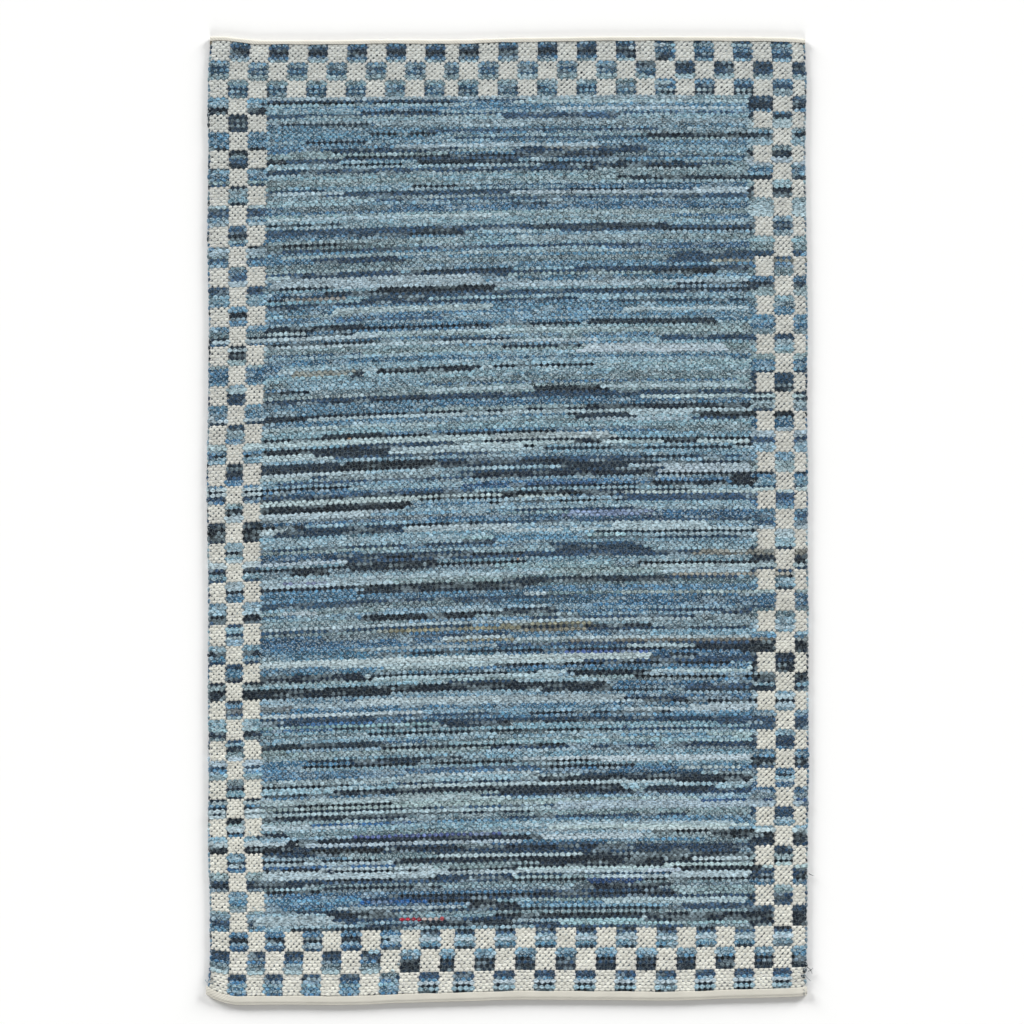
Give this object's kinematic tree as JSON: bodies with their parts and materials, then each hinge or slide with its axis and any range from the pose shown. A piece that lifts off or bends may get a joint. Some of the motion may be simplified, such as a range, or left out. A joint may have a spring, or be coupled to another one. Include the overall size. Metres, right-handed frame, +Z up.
{
  "type": "rug",
  "caption": "Flat handwoven denim rag rug with striped field, checkered border and a folded cotton tape over each cut end.",
  "frame": {"origin": "middle of the underside, at the centre of the bounding box's bottom", "axes": "+X along the picks, from selvedge to selvedge; +Y along the warp, towards the end whose binding is narrow on top; +Z up from the surface it lies on"},
  "size_m": [0.9176, 1.5332, 0.008],
  "materials": {
    "denim_rag_weave": "packed denim rag strips over a cotton warp, with ivory cotton checks",
    "cotton_tape": "ivory cotton twill tape",
    "cotton_cord_weft": "twisted ivory cotton weft in the checks",
    "loose_denim_strip": "frayed ends of denim strips"
  },
  "bodies": {
    "root": {"rug_body": "denim_rag_weave", "binding_bottom": "cotton_tape", "binding_top": "cotton_tape"}
  },
  "joints": []
}
